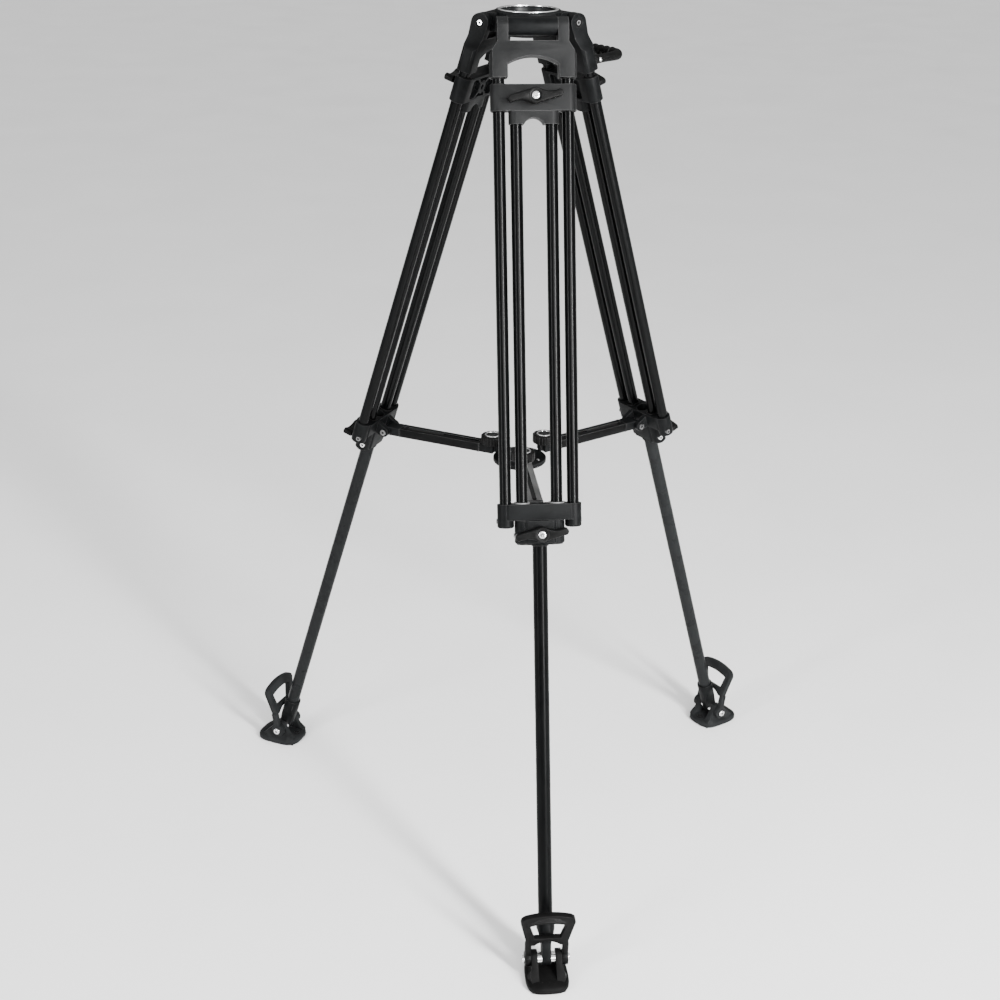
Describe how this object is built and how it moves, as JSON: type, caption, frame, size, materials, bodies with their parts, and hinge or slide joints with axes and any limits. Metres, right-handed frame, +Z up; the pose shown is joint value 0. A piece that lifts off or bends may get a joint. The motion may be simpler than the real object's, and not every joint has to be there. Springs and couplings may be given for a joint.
{
  "type": "tripod",
  "caption": "Camera tripod with twin-tube telescopic legs, an empty half-ball bowl, a mid-level spreader, wing-knob clamps and rubber shoes with stirrups.",
  "frame": {"origin": "on the floor, under the bowl's axis", "axes": "+Z up along the bowl's axis; the front leg points along -Y; the other legs are 120 degrees either side"},
  "size_m": [0.8504, 0.74, 1.251],
  "materials": {
    "casting": "textured black paint",
    "black_tube": "satin black anodised",
    "black_aluminium": "satin black anodised",
    "bright_aluminium": "machined bright",
    "steel": "polished",
    "knob_plastic": "satin moulded",
    "rubber": "matte",
    "rubberised": "ribbed soft grip"
  },
  "bodies": {
    "crown": {"crown": "casting", "bowl_seat": "bright_aluminium", "hinge_pins": "steel"},
    "front_stage_one": {"front_yoke": "casting", "front_outer_tubes": "black_tube", "front_tube_base": "casting", "front_base_screws": "steel"},
    "front_stage_two": {"front_upper_clamp": "casting", "front_inner_tubes": "black_tube", "front_lower_clamp": "casting", "front_clamp_bolts": "steel"},
    "front_upper_wing": {"front_upper_knob": "knob_plastic"},
    "front_lower_wing": {"front_lower_knob": "knob_plastic"},
    "front_stage_three": {"front_lower_tube": "black_tube", "front_foot_socket": "casting", "front_foot_pin": "steel"},
    "front_shoe": {"front_rubber_foot": "rubber"},
    "front_stirrup_ring": {"front_stirrup": "knob_plastic"},
    "front_arm": {"front_spreader_arm": "black_aluminium", "front_spreader_fittings": "casting"},
    "front_arm_knob": {"front_spreader_knob": "knob_plastic"},
    "right_stage_one": {"right_yoke": "casting", "right_outer_tubes": "black_tube", "right_tube_base": "casting", "right_base_screws": "steel", "carry_handle": "rubberised"},
    "right_stage_two": {"right_upper_clamp": "casting", "right_inner_tubes": "black_tube", "right_lower_clamp": "casting", "right_clamp_bolts": "steel"},
    "right_upper_wing": {"right_upper_knob": "knob_plastic"},
    "right_lower_wing": {"right_lower_knob": "knob_plastic"},
    "right_stage_three": {"right_lower_tube": "black_tube", "right_foot_socket": "casting", "right_foot_pin": "steel"},
    "right_shoe": {"right_rubber_foot": "rubber"},
    "right_stirrup_ring": {"right_stirrup": "knob_plastic"},
    "right_arm": {"right_spreader_arm": "black_aluminium", "right_spreader_fittings": "casting"},
    "right_arm_knob": {"right_spreader_knob": "knob_plastic"},
    "left_stage_one": {"left_yoke": "casting", "left_outer_tubes": "black_tube", "left_tube_base": "casting", "left_base_screws": "steel"},
    "left_stage_two": {"left_upper_clamp": "casting", "left_inner_tubes": "black_tube", "left_lower_clamp": "casting", "left_clamp_bolts": "steel"},
    "left_upper_wing": {"left_upper_knob": "knob_plastic"},
    "left_lower_wing": {"left_lower_knob": "knob_plastic"},
    "left_stage_three": {"left_lower_tube": "black_tube", "left_foot_socket": "casting", "left_foot_pin": "steel"},
    "left_shoe": {"left_rubber_foot": "rubber"},
    "left_stirrup_ring": {"left_stirrup": "knob_plastic"},
    "left_arm": {"left_spreader_arm": "black_aluminium", "left_spreader_fittings": "casting"},
    "left_arm_knob": {"left_spreader_knob": "knob_plastic"},
    "spreader_hub": {"spreader_hub": "black_aluminium", "spreader_hub_screw": "steel"}
  },
  "joints": [
    {"name": "front_leg_fold", "type": "hinge", "parent": "crown", "child": "front_stage_one", "pos_m": [0, -0.0496, 1.2343], "axis": [1, 0, 0], "range_deg": [0, 13]},
    {"name": "front_upper_extend", "type": "slide", "parent": "front_stage_one", "child": "front_stage_two", "axis": [0, -0.3024, -0.9532], "range_m": [0, 0.49]},
    {"name": "front_lower_retract", "type": "slide", "parent": "front_stage_two", "child": "front_stage_three", "axis": [0, 0.3024, 0.9532], "range_m": [0, 0.47]},
    {"name": "front_upper_wing_turn", "type": "hinge", "parent": "front_stage_two", "child": "front_upper_wing", "pos_m": [0, -0.09663, 1.15218], "axis": [0, -0.9532, 0.3024], "range_deg": [0, 90]},
    {"name": "front_lower_wing_turn", "type": "hinge", "parent": "front_stage_two", "child": "front_lower_wing", "pos_m": [0, -0.2705, 0.60409], "axis": [0, -0.9532, 0.3024], "range_deg": [0, 90]},
    {"name": "front_shoe_tilt", "type": "hinge", "parent": "front_stage_three", "child": "front_shoe", "pos_m": [0, -0.43255, 0.02708], "axis": [1, 0, 0], "range_deg": [-20, 20]},
    {"name": "front_stirrup_flip", "type": "hinge", "parent": "front_stage_three", "child": "front_stirrup_ring", "pos_m": [0, -0.43255, 0.02708], "axis": [1, 0, 0], "range_deg": [0, 50]},
    {"name": "front_arm_fold", "type": "hinge", "parent": "front_stage_one", "child": "front_arm", "pos_m": [0, -0.22, 0.613], "axis": [1, 0, 0], "range_deg": [0, 67.5]},
    {"name": "front_arm_knob_turn", "type": "hinge", "parent": "front_arm", "child": "front_arm_knob", "pos_m": [0, -0.045, 0.62], "axis": [0, 0, 1], "range_deg": [0, 90]},
    {"name": "right_leg_fold", "type": "hinge", "parent": "crown", "child": "right_stage_one", "pos_m": [0.04295, 0.0248, 1.2343], "axis": [-0.5, 0.866, 0], "range_deg": [0, 13]},
    {"name": "right_upper_extend", "type": "slide", "parent": "right_stage_one", "child": "right_stage_two", "axis": [0.2619, 0.1512, -0.9532], "range_m": [0, 0.49]},
    {"name": "right_lower_retract", "type": "slide", "parent": "right_stage_two", "child": "right_stage_three", "axis": [-0.2619, -0.1512, 0.9532], "range_m": [0, 0.47]},
    {"name": "right_upper_wing_turn", "type": "hinge", "parent": "right_stage_two", "child": "right_upper_wing", "pos_m": [0.08369, 0.04832, 1.15218], "axis": [0.8255, 0.4766, 0.3024], "range_deg": [0, 90]},
    {"name": "right_lower_wing_turn", "type": "hinge", "parent": "right_stage_two", "child": "right_lower_wing", "pos_m": [0.23426, 0.13525, 0.60409], "axis": [0.8255, 0.4766, 0.3024], "range_deg": [0, 90]},
    {"name": "right_shoe_tilt", "type": "hinge", "parent": "right_stage_three", "child": "right_shoe", "pos_m": [0.3746, 0.21628, 0.02708], "axis": [-0.5, 0.866, 0], "range_deg": [-20, 20]},
    {"name": "right_stirrup_flip", "type": "hinge", "parent": "right_stage_three", "child": "right_stirrup_ring", "pos_m": [0.3746, 0.21628, 0.02708], "axis": [-0.5, 0.866, 0], "range_deg": [0, 50]},
    {"name": "right_arm_fold", "type": "hinge", "parent": "right_stage_one", "child": "right_arm", "pos_m": [0.19053, 0.11, 0.613], "axis": [-0.5, 0.866, 0], "range_deg": [0, 67.5]},
    {"name": "right_arm_knob_turn", "type": "hinge", "parent": "right_arm", "child": "right_arm_knob", "pos_m": [0.03897, 0.0225, 0.62], "axis": [0, 0, 1], "range_deg": [0, 90]},
    {"name": "left_leg_fold", "type": "hinge", "parent": "crown", "child": "left_stage_one", "pos_m": [-0.04295, 0.0248, 1.2343], "axis": [-0.5, -0.866, 0], "range_deg": [0, 13]},
    {"name": "left_upper_extend", "type": "slide", "parent": "left_stage_one", "child": "left_stage_two", "axis": [-0.2619, 0.1512, -0.9532], "range_m": [0, 0.49]},
    {"name": "left_lower_retract", "type": "slide", "parent": "left_stage_two", "child": "left_stage_three", "axis": [0.2619, -0.1512, 0.9532], "range_m": [0, 0.47]},
    {"name": "left_upper_wing_turn", "type": "hinge", "parent": "left_stage_two", "child": "left_upper_wing", "pos_m": [-0.08369, 0.04832, 1.15218], "axis": [-0.8255, 0.4766, 0.3024], "range_deg": [0, 90]},
    {"name": "left_lower_wing_turn", "type": "hinge", "parent": "left_stage_two", "child": "left_lower_wing", "pos_m": [-0.23426, 0.13525, 0.60409], "axis": [-0.8255, 0.4766, 0.3024], "range_deg": [0, 90]},
    {"name": "left_shoe_tilt", "type": "hinge", "parent": "left_stage_three", "child": "left_shoe", "pos_m": [-0.3746, 0.21628, 0.02708], "axis": [-0.5, -0.866, 0], "range_deg": [-20, 20]},
    {"name": "left_stirrup_flip", "type": "hinge", "parent": "left_stage_three", "child": "left_stirrup_ring", "pos_m": [-0.3746, 0.21628, 0.02708], "axis": [-0.5, -0.866, 0], "range_deg": [0, 50]},
    {"name": "left_arm_fold", "type": "hinge", "parent": "left_stage_one", "child": "left_arm", "pos_m": [-0.19053, 0.11, 0.613], "axis": [-0.5, -0.866, 0], "range_deg": [0, 67.5]},
    {"name": "left_arm_knob_turn", "type": "hinge", "parent": "left_arm", "child": "left_arm_knob", "pos_m": [-0.03897, 0.0225, 0.62], "axis": [0, 0, 1], "range_deg": [0, 90]},
    {"name": "hub_rise", "type": "slide", "parent": "crown", "child": "spreader_hub", "axis": [0, 0, 1], "range_m": [0, 0.123]}
  ],
  "couplings": [
    {"joint": "right_leg_fold", "follows": "front_leg_fold", "ratio": 1},
    {"joint": "left_leg_fold", "follows": "front_leg_fold", "ratio": 1},
    {"joint": "hub_rise", "follows": "front_leg_fold", "m_per_rad": 0.54},
    {"joint": "front_arm_fold", "follows": "front_leg_fold", "ratio": 5.1538},
    {"joint": "right_arm_fold", "follows": "front_leg_fold", "ratio": 5.1538},
    {"joint": "left_arm_fold", "follows": "front_leg_fold", "ratio": 5.1538}
  ]
}
